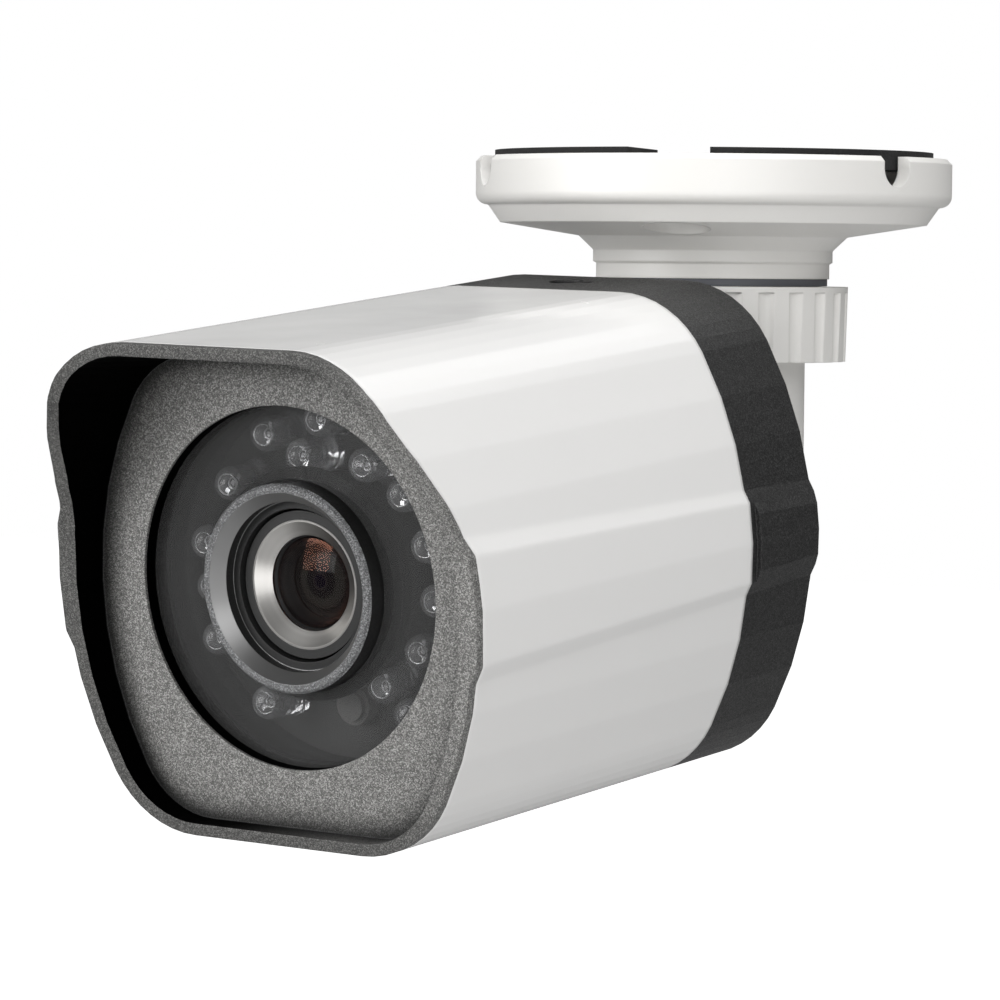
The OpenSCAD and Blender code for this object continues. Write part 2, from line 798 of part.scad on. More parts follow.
module light_sensor() color("#b9b7b0") at_camera() {
    sensor_a = 276;
    sensor_r = tube_r + 3.6;
    at = sensor_r * [cos(sensor_a), sin(sensor_a)];
    rod_y(led_board_y - 2.2, led_board_y, 2.9, at = at);
    rod_y(led_board_y - 3, led_board_y - 2.2 + eps, 2.2, at = at);
}

// --- lens tube and lens ---
module lens_tube() color("#3f4042") at_camera() {
    front = -tube_proud;
    bore_r = tube_bore_d / 2;
    difference() {
        rod_y(front, chassis_y, tube_r);
        rod_y(front - eps, front + 2, tube_r - bevel_w, bore_r);
        rod_y(front + 1.9, front + 3.6, bore_r);
        rod_y(front, far, barrel_r + 0.4);
        difference() {
            rod_y(front - 1, front + 0.4, tube_r + 1);
            rod_y(front - eps, front + 0.4 + eps, tube_r - 0.4, tube_r + eps);
        }
    }
}

module tube_seal() color("#141414") at_camera() {
    difference() {
        rod_y(gasket_y, gasket_y + gasket_t, tube_r + 1.8);
        rod_y(0, far, tube_r + 0.02);
    }
}

barrel_front_len = 17;
module lens_barrel() color("#131314") at_camera() {
    front_end = barrel_y + barrel_front_len;
    cone_end = barrel_y + 4.6;
    difference() {
        union() {
            rod_y(barrel_y, front_end - 4, barrel_r);
            rod_y(barrel_y, front_end, barrel_r - 2);
            rod_y(barrel_y, front_end + 9, thread_d / 2);
        }
        rod_y(barrel_y - 1, barrel_y + 2, bright_ring_d / 2 + 0.02);
        rod_y(barrel_y + 2 - eps, cone_end, bright_ring_bore / 2, lens_r + 0.02);
        rod_y(cone_end - eps, cone_end + 3, lens_r + 0.02);
        rod_y(cone_end, far, 4.42);
    }
}

// Bright dished ring in the mouth of the lens barrel
module lens_front_ring() color("#b4b5b6") at_camera() {
    difference() {
        rod_y(barrel_y, barrel_y + 2, bright_ring_d / 2);
        rod_y(barrel_y - eps, barrel_y + 1.5, bright_ring_d / 2 - 0.3, bright_ring_bore / 2);
        rod_y(barrel_y, far, bright_ring_bore / 2);
    }
}

// Lens with one domed face
module domed_lens(y0, r, edge_t, dome_h) {
    dome_r = (r * r + dome_h * dome_h) / (2 * dome_h);
    intersection() {
        rod_y(y0, y0 + dome_h + edge_t, r);
        translate([0, y0 + dome_r, 0]) sphere(r = dome_r);
    }
}

lens_r = 5.4;
module front_lens() color("#5a4038", 0.6) at_camera() {
    domed_lens(barrel_y + 3.6, lens_r, 2.6, 1.4);
}

module rear_lens() color("#6a7078", 0.6) at_camera() {
    domed_lens(barrel_y + barrel_front_len + 4, 4.4, 2, 0.8);
}

// --- sensor assembly ---
holder_w = 28;
holder_h = 20;
holder_y = 26;
slide_y = 30.6;
slide_t = 0.9;
slide_len = 17.2;
slide_h = 10;
slide_end = 12;
module lens_holder() color("#1c1c1e") at_camera() {
    difference() {
        union() {
            rod_y(holder_y - 4.5, holder_y + 1, thread_d / 2 + 2.4);
            translate([-holder_w / 2, holder_y, -holder_h / 2])
                cube([holder_w, sensor_board_y - holder_y, holder_h]);
        }
        rod_y(holder_y - 6, slide_y, thread_d / 2 + seat_fit);
        translate([-slide_end - 0.2, slide_y - 0.15, -slide_h / 2 - 0.15])
            cube([2 * slide_end + 0.4, slide_t + 0.3, slide_h + 0.3]);
        translate([-6.5, slide_y, -5.5]) cube([13, far, 11]);
    }
}

module filter_slide() color("#3a3b3d") at_camera() {
    difference() {
        translate([-slide_end, slide_y, -slide_h / 2]) cube([slide_len, slide_t, slide_h]);
        for (x = [0, -filter_travel]) rod_y(slide_y - 1, slide_y + 2, 3.3, at = [x, 0]);
    }
}

module cut_filter() color("#7fd0c8", 0.6) at_camera() {
    rod_y(slide_y + 0.1, slide_y + slide_t - 0.1, 3.29);
}

module filter_coil() color("#b0703a") at_camera() {
    coil_w = 7;
    coil_y = holder_y + 1;
    translate([holder_w / 2, coil_y, -4]) cube([1, 8, 8]);
    translate([holder_w / 2 + coil_w - 1, coil_y, -4]) cube([1, 8, 8]);
    translate([holder_w / 2, coil_y + 4, 0]) rotate([0, 90, 0]) cylinder(h = coil_w, r = 3.6);
}

module board(y0, w, h) {
    difference() {
        translate([-w / 2, y0, -h / 2]) cube([w, board_t, h]);
        spacers_at() rod_y(y0 - 1, y0 + board_t + 1, board_screw_r + seat_fit);
    }
}

module spacer_set(y0, y1) {
    spacers_at() difference() {
        translate([0, y0, 0]) rotate([-90, 0, 0]) cylinder(h = y1 - y0, r = spacer_r, $fn = 6);
        rod_y(y0 - 1, y1 + 1, board_screw_r + seat_fit);
    }
}

module sensor_board() color("#1e4d2f") at_camera() board(sensor_board_y, sensor_board_w, sensor_board_w);

module image_sensor() color("#26303a") at_camera() {
    translate([-4.5, sensor_board_y - 1.3, -3.8]) cube([9, 1.3, 7.6]);
}

module main_board() color("#1e4d2f") at_camera() board(main_board_y, main_board_w, main_board_h);

module processor() color("#202022") at_camera() {
    translate([-9, main_board_y + board_t, -4]) cube([13, 1.4, 13]);
}

module network_socket() color("#9a9c9e") at_camera() {
    translate([-socket_w / 2, main_board_y + board_t, 1 - main_board_h / 2]) difference() {
        cube([socket_w, socket_len, socket_h]);
        translate([1.5, 3, 1.5]) cube([socket_w - 3, socket_len, socket_h - 5]);
    }
}

module chassis_spacers() color("#c2a24c") at_camera() spacer_set(rail_y, sensor_board_y);

module board_spacers() color("#c2a24c") at_camera() {
    spacer_set(sensor_board_y + board_t, main_board_y);
}

module board_screws() color("#8d8f92") at_camera() {
    head_y = main_board_y + board_t;
    spacers_at() {
        rod_y(head_y, head_y + 1.6, 2.2);
        rod_y(chassis_y + 0.3, head_y + eps, board_screw_r);
    }
}

// Aluminium plate behind the lamps: it cools them and carries the boards
module chassis_plate() color("#b8babd") at_camera() {
    difference() {
        section(chassis_y, rail_y, shell_t + 0.5);
        rod_y(0, far, barrel_r + 0.6);
        rails() rod_y(0, far, tie_r + seat_fit);
        spacers_at() rod_y(0, far, board_screw_r + 0.03);
    }
}

base_plate();
base_pad();
collar_seal();
pan_lock_ring();
swivel_arm();
tilt_screw();
tilt_nut();
tilt_washers();
tilt_knuckle();
roll_lock_ring();
rear_cover();
cover_seal();
tie_screws();
sunshield_screw();
cable_grommet();
main_shell();
front_bezel();
window();
window_gasket();
lamp_housing();
lens_tube();
tube_seal();
lamp_board();
ir_lamps();
light_sensor();
chassis_plate();
chassis_spacers();
lens_barrel();
lens_front_ring();
front_lens();
rear_lens();
lens_holder();
filter_slide();
cut_filter();
filter_coil();
sensor_board();
image_sensor();
board_spacers();
main_board();
processor();
network_socket();
board_screws();
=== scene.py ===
"""Looks of the bullet security camera: finishes, lamp insides, front glass and studio."""

import math

import bmesh
import bpy
from mathutils import Matrix, Vector


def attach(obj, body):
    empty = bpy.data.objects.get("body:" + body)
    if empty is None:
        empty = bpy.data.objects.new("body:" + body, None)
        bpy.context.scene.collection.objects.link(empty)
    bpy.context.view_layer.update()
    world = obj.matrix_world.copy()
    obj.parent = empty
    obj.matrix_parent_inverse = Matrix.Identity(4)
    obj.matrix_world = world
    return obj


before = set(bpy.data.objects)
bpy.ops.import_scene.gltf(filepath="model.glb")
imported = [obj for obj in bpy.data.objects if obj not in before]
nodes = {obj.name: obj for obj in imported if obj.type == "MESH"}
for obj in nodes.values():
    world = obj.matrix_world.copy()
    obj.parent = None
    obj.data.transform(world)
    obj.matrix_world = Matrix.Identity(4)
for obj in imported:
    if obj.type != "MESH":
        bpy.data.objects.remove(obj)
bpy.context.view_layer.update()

MM = 0.001

# ---------------------------------------------------------------- barrel frame
# Y runs back along the barrel, and its origin is the middle of the bezel's face.
HINGE = Vector((0, 0, -52.5)) * MM
REACH = 109.3 * MM
REST_TILT = math.radians(5.5)
REST_ROLL = math.radians(1.25)
BARREL = (
    Matrix.Translation(HINGE)
    @ Matrix.Rotation(REST_TILT, 4, "X")
    @ Matrix.Rotation(REST_ROLL, 4, "Y")
    @ Matrix.Translation((0, -REACH, 0))
)
TO_BARREL = BARREL.inverted()


# ---------------------------------------------------------------- node helpers
def node_group(family, name, inputs, outputs):
    """Empty node tree with named sockets; inputs are (name, kind, value), outputs (name, kind)."""
    tree = bpy.data.node_groups.new(name, family)
    for label, kind, value in inputs:
        socket = tree.interface.new_socket(label, in_out="INPUT", socket_type="NodeSocket" + kind)
        if value is not None:
            socket.default_value = value
    for label, kind in outputs:
        tree.interface.new_socket(label, in_out="OUTPUT", socket_type="NodeSocket" + kind)
    return tree, tree.nodes.new("NodeGroupInput"), tree.nodes.new("NodeGroupOutput")


def add(tree, kind, **settings):
    """New node with its properties set; keys that name a socket set its value."""
    node = tree.nodes.new(kind)
    for key, value in settings.items():
        if hasattr(node, key):
            setattr(node, key, value)
        else:
            node.inputs[key].default_value = value
    return node


def feed(tree, value, socket):
    """Link an output to a socket, or set a plain value on it."""
    if isinstance(value, bpy.types.NodeSocket):
        tree.links.new(value, socket)
    else:
        socket.default_value = value


def maths(tree, operation, a, b=None):
    """Math node on one or two values or sockets; returns its output."""
    node = add(tree, "ShaderNodeMath", operation=operation)
    feed(tree, a, node.inputs[0])
    if b is not None:
        feed(tree, b, node.inputs[1])
    return node.outputs[0]


def scaled(tree, colour, share):
    """Colour socket times a share; returns the result's socket."""
    node = add(tree, "ShaderNodeVectorMath", operation="SCALE")
    tree.links.new(colour, node.inputs[0])
    tree.links.new(share, node.inputs["Scale"])
    return node.outputs["Vector"]


def ramp(tree, value, low, high):
    """Smooth step from 0 to 1 as value goes from low to high."""
    node = add(tree, "ShaderNodeMapRange", interpolation_type="SMOOTHSTEP")
    tree.links.new(value, node.inputs["Value"])
    node.inputs["From Min"].default_value = low
    node.inputs["From Max"].default_value = high
    return node.outputs["Result"]


# ---------------------------------------------------------------- shader groups
def barrel_place_group():
    """Place and normal in the barrel frame, with the distance from its axis, in millimetres."""
    tree, _, out = node_group(
        "ShaderNodeTree", "barrel_place",
        [],
        [("Across", "Float"), ("Along", "Float"), ("Up", "Float"), ("Radius", "Float"),
         ("Facing Forward", "Float"), ("Facing Outward", "Float"), ("Facing Right", "Float")],
    )
    coordinates = tree.nodes.new("ShaderNodeTexCoord")
    place = add(tree, "ShaderNodeMapping", vector_type="TEXTURE")
    place.inputs["Location"].default_value = BARREL.translation
    place.inputs["Rotation"].default_value = BARREL.to_euler()
    place.inputs["Scale"].default_value = (MM, MM, MM)
    tree.links.new(coordinates.outputs["Object"], place.inputs["Vector"])
    facing = add(tree, "ShaderNodeMapping", vector_type="TEXTURE")
    facing.inputs["Rotation"].default_value = BARREL.to_euler()
    tree.links.new(coordinates.outputs["Normal"], facing.inputs["Vector"])

    at = tree.nodes.new("ShaderNodeSeparateXYZ")
    normal = tree.nodes.new("ShaderNodeSeparateXYZ")
    tree.links.new(place.outputs["Vector"], at.inputs["Vector"])
    tree.links.new(facing.outputs["Vector"], normal.inputs["Vector"])
    squares = maths(
        tree, "ADD",
        maths(tree, "MULTIPLY", at.outputs["X"], at.outputs["X"]),
        maths(tree, "MULTIPLY", at.outputs["Z"], at.outputs["Z"]),
    )
    radius = maths(tree, "SQRT", squares)
    outward = maths(
        tree, "DIVIDE",
        maths(
            tree, "ADD",
            maths(tree, "MULTIPLY", at.outputs["X"], normal.outputs["X"]),
            maths(tree, "MULTIPLY", at.outputs["Z"], normal.outputs["Z"]),
        ),
        radius,
    )
    results = {
        "Across": at.outputs["X"], "Along": at.outputs["Y"], "Up": at.outputs["Z"],
        "Radius": radius, "Facing Outward": outward,
        "Facing Forward": maths(tree, "MULTIPLY", normal.outputs["Y"], -1),
        "Facing Right": normal.outputs["X"],
    }
    for name, socket in results.items():
        tree.links.new(socket, out.inputs[name])
    return tree


# a grain's brightness is a random share raised to the rarity; the mean is about its average
FLECK_RARITY = 2.2
FLECK_MEAN = 0.31
FLECK_ROUGHNESS = 0.62
FLECK_POLISH = 0.22


def fleck_group():
    """Paint with fine metallic flecks: colour, roughness and grain height."""
    tree, given, out = node_group(
        "ShaderNodeTree", "metallic_fleck",
        [("Colour", "Color", (0.2, 0.2, 0.2, 1)), ("Contrast", "Float", 0.5), ("Grain mm", "Float", 0.25)],
        [("Colour", "Color"), ("Roughness", "Float"), ("Height", "Float")],
    )
    coordinates = tree.nodes.new("ShaderNodeTexCoord")
    scale = maths(tree, "DIVIDE", 1 / MM, given.outputs["Grain mm"])
    grains = add(tree, "ShaderNodeTexVoronoi", feature="F1")
    tree.links.new(coordinates.outputs["Object"], grains.inputs["Vector"])
    tree.links.new(scale, grains.inputs["Scale"])
    chance = tree.nodes.new("ShaderNodeSeparateColor")
    tree.links.new(grains.outputs["Color"], chance.inputs["Color"])
    # most grains are dull, and a few are bright
    bright = maths(tree, "POWER", chance.outputs["Red"], FLECK_RARITY)
    off_mean = maths(tree, "SUBTRACT", bright, FLECK_MEAN)
    gain = maths(tree, "ADD", 1.0, maths(tree, "MULTIPLY", off_mean, given.outputs["Contrast"]))
    polish = maths(tree, "MULTIPLY", chance.outputs["Green"], FLECK_POLISH)
    rough = maths(tree, "SUBTRACT", FLECK_ROUGHNESS, polish)
    tree.links.new(scaled(tree, given.outputs["Colour"], gain), out.inputs["Colour"])
    tree.links.new(rough, out.inputs["Roughness"])
    tree.links.new(chance.outputs["Blue"], out.inputs["Height"])
    return tree


CLOUDS_PER_METRE = 55.0
SHEEN_SWING = 0.15


def moulded_group():
    """Faint mottling and fine grain of moulded plastic."""
    tree, given, out = node_group(
        "ShaderNodeTree", "moulded_grain",
        [("Colour", "Color", (0.8, 0.8, 0.8, 1)), ("Mottle", "Float", 0.04), ("Grain mm", "Float", 0.4),
         ("Roughness", "Float", 0.4)],
        [("Colour", "Color"), ("Roughness", "Float"), ("Height", "Float")],
    )
    coordinates = tree.nodes.new("ShaderNodeTexCoord")
    clouds = add(tree, "ShaderNodeTexNoise", Scale=CLOUDS_PER_METRE, Detail=3.0)
    tree.links.new(coordinates.outputs["Object"], clouds.inputs["Vector"])
    grain = add(tree, "ShaderNodeTexNoise", Detail=2.0)
    tree.links.new(coordinates.outputs["Object"], grain.inputs["Vector"])
    tree.links.new(maths(tree, "DIVIDE", 1 / MM, given.outputs["Grain mm"]), grain.inputs["Scale"])
    swing = maths(tree, "SUBTRACT", clouds.outputs["Fac"], 0.5)
    gain = maths(tree, "ADD", 1.0, maths(tree, "MULTIPLY", swing, given.outputs["Mottle"]))
    sheen = maths(tree, "MULTIPLY", swing, SHEEN_SWING)
    rough = maths(tree, "ADD", given.outputs["Roughness"], sheen)
    tree.links.new(scaled(tree, given.outputs["Colour"], gain), out.inputs["Colour"])
    tree.links.new(rough, out.inputs["Roughness"])
    tree.links.new(grain.outputs["Fac"], out.inputs["Height"])
    return tree


def turned_group():
    """Fine rings that a lathe leaves round the barrel's axis."""
    tree, given, out = node_group(
        "ShaderNodeTree", "turned_rings",
        [("Pitch mm", "Float", 0.15)],
        [("Height", "Float"), ("Streak", "Float")],
    )
    place = tree.nodes.new("ShaderNodeGroup")
    place.node_tree = BARREL_PLACE
    across = maths(
        tree, "DIVIDE",
        maths(tree, "ADD", place.outputs["Radius"], place.outputs["Along"]),
        given.outputs["Pitch mm"],
    )
    rings = add(tree, "ShaderNodeTexNoise", noise_dimensions="1D", Scale=1.0, Detail=2.0)
    tree.links.new(across, rings.inputs["W"])
    tree.links.new(rings.outputs["Fac"], out.inputs["Height"])
    tree.links.new(rings.outputs["Fac"], out.inputs["Streak"])
    return tree


BARREL_PLACE = barrel_place_group()
FLECK = fleck_group()
MOULDED = moulded_group()
TURNED = turned_group()


# ---------------------------------------------------------------- material helpers
def finish(name, colour=(0.5, 0.5, 0.5), **sockets):
    """New material; extra words set sockets of its shader, with _ for a space."""
    material = bpy.data.materials.new(name)
    material.use_nodes = True
    shader = material.node_tree.nodes["Principled BSDF"]
    shader.inputs["Base Color"].default_value = (*colour, 1)
    for key, value in sockets.items():
        shader.inputs[key.replace("_", " ")].default_value = value
    return material, material.node_tree, shader


def place_group(tree, group, **values):
    """Group node with values for its inputs."""
    node = tree.nodes.new("ShaderNodeGroup")
    node.node_tree = group
    for key, value in values.items():
        node.inputs[key.replace("_", " ")].default_value = value
    return node


def bump(tree, shader, height, depth_mm, edge_mm=0.0):
    """Bump of a depth, over edges that are rounded by edge_mm."""
    node = add(tree, "ShaderNodeBump", Strength=1.0)
    node.inputs["Distance"].default_value = depth_mm * MM
    tree.links.new(height, node.inputs["Height"])
    if edge_mm:
        rounded = add(tree, "ShaderNodeBevel", samples=6, Radius=edge_mm * MM)
        tree.links.new(rounded.outputs["Normal"], node.inputs["Normal"])
    tree.links.new(node.outputs["Normal"], shader.inputs["Normal"])


def moulded(name, colour, roughness, mottle=0.04, grain_mm=0.4, depth_mm=0.004, edge_mm=0.0, **sockets):
    """Plain moulded plastic or rubber."""
    material, tree, shader = finish(name, colour, **sockets)
    grain = place_group(
        tree, MOULDED, Colour=(*colour, 1), Mottle=mottle, Roughness=roughness, Grain_mm=grain_mm,
    )
    tree.links.new(grain.outputs["Colour"], shader.inputs["Base Color"])
    tree.links.new(grain.outputs["Roughness"], shader.inputs["Roughness"])
    bump(tree, shader, grain.outputs["Height"], depth_mm, edge_mm)
    return material


def mix_colours(tree, share, first, second):
    """First colour or socket where share is 0, second where it is 1; returns the mix."""
    node = add(tree, "ShaderNodeMix", data_type="RGBA")
    tree.links.new(share, node.inputs[0])
    for socket, value in ((node.inputs[6], first), (node.inputs[7], second)):
        linked = isinstance(value, bpy.types.NodeSocket)
        feed(tree, value if linked else (*value, 1), socket)
    return node.outputs[2]


# ---------------------------------------------------------------- finishes
def shell_white():
    """Glossy enamel of the shell."""
    return moulded(
        "gloss_white_enamel", (0.79, 0.785, 0.775), 0.24, mottle=0.015, grain_mm=1.2, depth_mm=0.0015,
        edge_mm=1.2, Coat_Weight=0.3, Coat_Roughness=0.12,
    )


def bracket_white():
    """Satin, slightly warm plastic of the bracket."""
    return moulded(
        "satin_off_white", (0.78, 0.77, 0.745), 0.42, mottle=0.03, grain_mm=0.5, edge_mm=0.35,
    )


# one fleck paint covers the bezel, the rear cover and the lens tube's ring
FLECK_MM = 0.15
FLECK_DEPTH_MM = 0.02
PAINT_EDGE_MM = 0.3
# the bezel alone: how metallic its paint is, how much painted shade darkens its lip, and how far painted
# shade in a corner reaches
BEZEL_METAL = 0.25
LIP_SHADE = 0.55
NOOK_MM = 6.5
DEAD_BLACK = (0.001, 0.001, 0.001)


def shade_and_opening_black(tree, place):
    """Share of black: painted shade on the hood's inner walls towards the left, and the walls of the
    window's opening.
    """
    side_wall = ramp(tree, place.outputs["Facing Right"], 0.15, 0.4)
    facing_in = ramp(tree, place.outputs["Facing Outward"], -0.2, -0.5)
    off_left_rim = ramp(tree, place.outputs["Across"], -31, -29)
    roof = maths(tree, "MULTIPLY", facing_in, off_left_rim)
    in_front = ramp(tree, place.outputs["Along"], 0.1, -0.4)
    to_left = ramp(tree, place.outputs["Across"], 20, -12)
    inward = maths(tree, "MAXIMUM", side_wall, roof)
    # painted shade: the hood's inner walls, towards the left, are painted black
    painted_shade = maths(tree, "MULTIPLY", maths(tree, "MULTIPLY", inward, in_front), to_left)
    in_opening = ramp(tree, place.outputs["Along"], 0.35, 0.6)
    return maths(tree, "MAXIMUM", painted_shade, in_opening)


def unshaded_share(tree, place):
    """Share of the paint's colour left under painted shade: on the lip, except towards the right, and in
    tight corners.
    """
    off_right = ramp(tree, place.outputs["Across"], 35, 20)
    # painted shade: the lip is darkened, except towards the right
    lip = maths(tree, "MULTIPLY", ramp(tree, place.outputs["Along"], -0.4, -1.2), LIP_SHADE)
    lip = maths(tree, "MULTIPLY", lip, off_right)
    # painted shade: ambient occlusion darkens the colour in corners, such as where the hood meets the face
    nook = add(tree, "ShaderNodeAmbientOcclusion", samples=8, Distance=NOOK_MM * MM)
    open_air = ramp(tree, nook.outputs["AO"], 0.45, 0.9)
    return maths(tree, "MULTIPLY", maths(tree, "SUBTRACT", 1.0, lip), open_air)


def bezel_grey():
    """Grey paint with metallic flecks, and painted shade in black on the walls inside the hood towards the
    left.
    """
    material, tree, shader = finish("grey_metallic_fleck", Metallic=BEZEL_METAL)
    fleck = place_group(tree, FLECK, Colour=(0.205, 0.203, 0.196, 1), Contrast=1.7, Grain_mm=FLECK_MM)
    place = place_group(tree, BARREL_PLACE)
    black = shade_and_opening_black(tree, place)
    shaded = scaled(tree, fleck.outputs["Colour"], unshaded_share(tree, place))
    tree.links.new(mix_colours(tree, black, shaded, DEAD_BLACK), shader.inputs["Base Color"])
    # the painted shade and the opening's walls are a metal of almost no colour, which mirrors nothing
    tree.links.new(maths(tree, "MAXIMUM", black, BEZEL_METAL), shader.inputs["Metallic"])
    tree.links.new(maths(tree, "MAXIMUM", fleck.outputs["Roughness"], black), shader.inputs["Roughness"])
    bump(tree, shader, fleck.outputs["Height"], FLECK_DEPTH_MM, PAINT_EDGE_MM)
    return material


def cover_grey():
    """Darker fleck paint of the rear cover."""
    material, tree, shader = finish("charcoal_metallic_fleck", Metallic=0.2, Specular_IOR_Level=0.65)
    fleck = place_group(tree, FLECK, Colour=(0.016, 0.016, 0.016, 1), Contrast=2.8, Grain_mm=FLECK_MM)
    tree.links.new(fleck.outputs["Colour"], shader.inputs["Base Color"])
    tree.links.new(fleck.outputs["Roughness"], shader.inputs["Roughness"])
    bump(tree, shader, fleck.outputs["Height"], FLECK_DEPTH_MM, PAINT_EDGE_MM)
    return material


# radii where the lens tube's bevel and its flecked ring begin, in millimetres
BEVEL_FROM = 12.0
RING_FROM = 13.6
BEVEL_ROUGHNESS = 0.44


def tube_black():
    """Flecked front ring, satin bevel inside it, and black everywhere else."""
    material, tree, shader = finish("lens_tube_paint")
    fleck = place_group(tree, FLECK, Colour=(0.14, 0.142, 0.145, 1), Contrast=1.8, Grain_mm=FLECK_MM)
    place = place_group(tree, BARREL_PLACE)
    front = ramp(tree, place.outputs["Facing Forward"], 0.2, 0.4)
    past_mouth = ramp(tree, place.outputs["Radius"], BEVEL_FROM, BEVEL_FROM + 0.2)
    shaped = maths(tree, "MULTIPLY", front, past_mouth)
    past_bevel = ramp(tree, place.outputs["Radius"], RING_FROM, RING_FROM + 0.15)
    ring = maths(tree, "MULTIPLY", shaped, past_bevel)
    bare = mix_colours(tree, shaped, (0.01, 0.01, 0.01), (0.3, 0.3, 0.3))
    tree.links.new(mix_colours(tree, ring, bare, fleck.outputs["Colour"]), shader.inputs["Base Color"])
    bevel = maths(tree, "SUBTRACT", shaped, ring)
    tree.links.new(bevel, shader.inputs["Metallic"])
    painted = maths(tree, "MULTIPLY", fleck.outputs["Roughness"], maths(tree, "SUBTRACT", 1.0, bevel))
    rough = maths(tree, "ADD", painted, maths(tree, "MULTIPLY", bevel, BEVEL_ROUGHNESS))
    tree.links.new(rough, shader.inputs["Roughness"])
    grains = maths(tree, "MULTIPLY", fleck.outputs["Height"], ring)
    bump(tree, shader, grains, FLECK_DEPTH_MM, PAINT_EDGE_MM / 2)
    return material


def turned_metal(name, colour, roughness, pitch_mm, depth_mm, **sockets):
    """Metal or black-anodised metal with lathe rings round the barrel's axis."""
    material, tree, shader = finish(name, colour, **sockets)
    rings = place_group(tree, TURNED, Pitch_mm=pitch_mm)
    dark = [part * 0.8 for part in colour]
    tree.links.new(mix_colours(tree, rings.outputs["Streak"], dark, colour), shader.inputs["Base Color"])
    rough = maths(tree, "ADD", roughness, maths(tree, "MULTIPLY", rings.outputs["Streak"], 0.1))
    tree.links.new(rough, shader.inputs["Roughness"])
    bump(tree, shader, rings.outputs["Height"], depth_mm)
    return material


def smoked_window():
    """Thin smoked sheet: both its faces mirror a little, and most light passes."""
    material, tree, shader = finish(
        "smoked_window", (0.1, 0.1, 0.1), Alpha=0.2, Roughness=0.03, IOR=1.7, Specular_IOR_Level=1.0,
    )
    dust = place_group(tree, MOULDED, Colour=(0.13, 0.13, 0.13, 1), Mottle=0.2, Roughness=0.04)
    tree.links.new(dust.outputs["Colour"], shader.inputs["Base Color"])
    return material


def lamp_clear():
    """Clear epoxy that bends what stands inside it."""
    material, tree, shader = finish(
        "clear_epoxy", (0.95, 0.96, 0.98), Roughness=0.0, IOR=1.5, Transmission_Weight=0.86,
    )
    waves = place_group(
        tree, MOULDED, Colour=(0.94, 0.95, 0.97, 1), Mottle=0.1, Roughness=0.02, Grain_mm=1.6,
    )
    tree.links.new(waves.outputs["Colour"], shader.inputs["Base Color"])
    bump(tree, shader, waves.outputs["Height"], 0.12)
    return material


LENS_R_MM = 5.5
# share of the lens's radius, and colour there
LENS_BANDS = [
    (0.0, (0.004, 0.004, 0.008)), (0.17, (0.006, 0.005, 0.01)), (0.2, (0.035, 0.03, 0.03)),
    (0.24, (0.01, 0.01, 0.011)), (0.44, (0.012, 0.012, 0.012)), (0.48, (0.03, 0.03, 0.027)),
    (0.72, (0.034, 0.033, 0.03)), (0.76, (0.014, 0.014, 0.014)), (0.9, (0.03, 0.03, 0.029)),
    (1.0, (0.05, 0.05, 0.048)),
]


def coated_glass():
    """Dark coated lens with faint coloured rings."""
    material, tree, shader = finish(
        "coated_lens", (0.01, 0.01, 0.012), Roughness=0.05, Specular_IOR_Level=0.12,
    )
    place = place_group(tree, BARREL_PLACE)
    bands = add(tree, "ShaderNodeValToRGB")
    tree.links.new(maths(tree, "DIVIDE", place.outputs["Radius"], LENS_R_MM), bands.inputs["Fac"])
    elements = bands.color_ramp.elements
    # a new ramp already has its first and last stop
    for position, _ in LENS_BANDS[1:-1]:
        elements.new(position)
    for element, (_, colour) in zip(elements, LENS_BANDS):
        element.color = (*colour, 1)
    tree.links.new(bands.outputs["Color"], shader.inputs["Base Color"])
    return material


def foam_black():
    """Matte foam with open cells."""
    return moulded(
        "black_foam", (0.012, 0.012, 0.012), 0.85, mottle=0.6, grain_mm=0.5, depth_mm=0.12,
    )


def rubber(name, colour, roughness):
    """Rubber with a fine grain."""
    return moulded(name, colour, roughness, grain_mm=0.3, depth_mm=0.01)


def circuit_board(name, colour):
    """Solder mask, slightly uneven."""
    return moulded(name, colour, 0.55, mottle=0.25, grain_mm=0.8, depth_mm=0.002)


def brushed(name, colour, roughness):
    """Bare or plated metal with a fine grain."""
    return moulded(name, colour, roughness, mottle=0.2, grain_mm=0.2, depth_mm=0.006, Metallic=1.0)


# ---------------------------------------------------------------- finishes on the CAD nodes
def dress(material, *names):
    """Give the named CAD nodes one material each, in place of what they have."""
    for name in names:
        materials = nodes[name].data.materials
        materials.clear()
        materials.append(material)


def dress_outside():
    """Finishes of the housing and the bracket."""
    dress(shell_white(), "main_shell")
    dress(bracket_white(), "base_plate", "pan_lock_ring", "swivel_arm", "tilt_knuckle", "roll_lock_ring")
    dress(bezel_grey(), "front_bezel")
    dress(cover_grey(), "rear_cover")
    dress(foam_black(), "base_pad", "window_gasket")
    dress(rubber("black_rubber", (0.015, 0.015, 0.015), 0.7), "cover_seal", "tube_seal", "cable_grommet")
    dress(rubber("slate_rubber", (0.1, 0.105, 0.12), 0.6), "collar_seal")
    dress(moulded("white_nylon", (0.75, 0.75, 0.73), 0.5), "tilt_washers")
    dress(
        brushed("plated_steel", (0.5, 0.5, 0.5), 0.32),
        "tilt_screw", "tilt_nut", "tie_screws", "board_screws", "network_socket",
    )
    dress(brushed("blackened_steel", (0.05, 0.05, 0.052), 0.4), "sunshield_screw")


